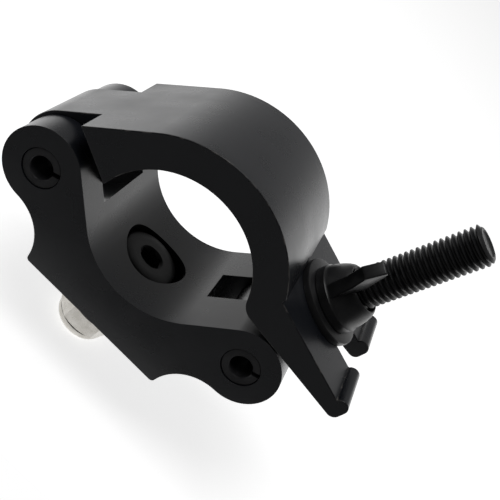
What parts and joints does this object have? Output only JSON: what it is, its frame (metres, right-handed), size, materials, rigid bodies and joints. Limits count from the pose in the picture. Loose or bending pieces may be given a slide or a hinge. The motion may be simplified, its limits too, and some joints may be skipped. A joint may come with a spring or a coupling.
{
  "type": "half coupler pipe clamp",
  "caption": "Hinged round pipe clamp: a base with a flat mounting face, a cover on a hinge pin, and a swing bolt with washer and wing nut that closes it.",
  "frame": {"origin": "axis of a tube lying in the base's seat, at the middle of the clamp's width", "axes": "+Y along the tube, +Z away from the flat mounting face, +X from the hinge to the swing bolt"},
  "size_m": [0.1185, 0.05, 0.1195],
  "materials": {
    "anodised": "black anodised, satin",
    "black_steel": "black oxide, satin",
    "zinc_steel": "zinc plated, bright",
    "nylon": "plain"
  },
  "bodies": {
    "base": {"base_half": "anodised", "hinge_pin": "black_steel", "bolt_pin": "black_steel", "mount_screw": "black_steel"},
    "cover": {"cover_half": "anodised"},
    "bolt": {"swing_bolt": "black_steel"},
    "bolt_washer": {"clamp_washer": "black_steel"},
    "nut": {"wing_nut": "black_steel"},
    "screw_washer": {"mount_washer": "black_steel"},
    "screw_nut": {"mount_nut": "zinc_steel", "nylon_ring": "nylon"}
  },
  "joints": [
    {"name": "bolt_swing", "type": "hinge", "parent": "base", "child": "bolt", "pos_m": [0.0386, 0, -0.014], "axis": [0, 1, 0], "range_deg": [0, 70]},
    {"name": "nut_travel", "type": "slide", "parent": "bolt", "child": "bolt_washer", "axis": [0.2949, 0, 0.9555], "range_m": [0, 0.0438]},
    {"name": "nut_spin", "type": "hinge", "parent": "bolt_washer", "child": "nut", "pos_m": [0.0386, 0, -0.014], "axis": [0.2949, 0, 0.9555], "range_deg": [0, 9000]},
    {"name": "cover_hinge", "type": "hinge", "parent": "base", "child": "cover", "pos_m": [-0.0386, 0, -0.014], "axis": [0, -1, 0], "range_deg": [0, 9.8]},
    {"name": "mount_nut_travel", "type": "slide", "parent": "base", "child": "screw_washer", "axis": [-0.061, 0, -0.9981], "range_m": [-0.0078, 0.0069]},
    {"name": "mount_nut_spin", "type": "hinge", "parent": "screw_washer", "child": "screw_nut", "pos_m": [-0.0007, 0, -0.03238], "axis": [-0.061, 0, -0.9981], "range_deg": [-1600, 1400]}
  ],
  "couplings": [
    {"joint": "nut_travel", "follows": "nut_spin", "m_per_rad": 0.00027852},
    {"joint": "bolt_swing", "follows": "nut_spin", "ratio": 0.0077777},
    {"joint": "cover_hinge", "follows": "nut_spin", "ratio": 0.0010888},
    {"joint": "mount_nut_travel", "follows": "mount_nut_spin", "m_per_rad": 0.00027852}
  ]
}
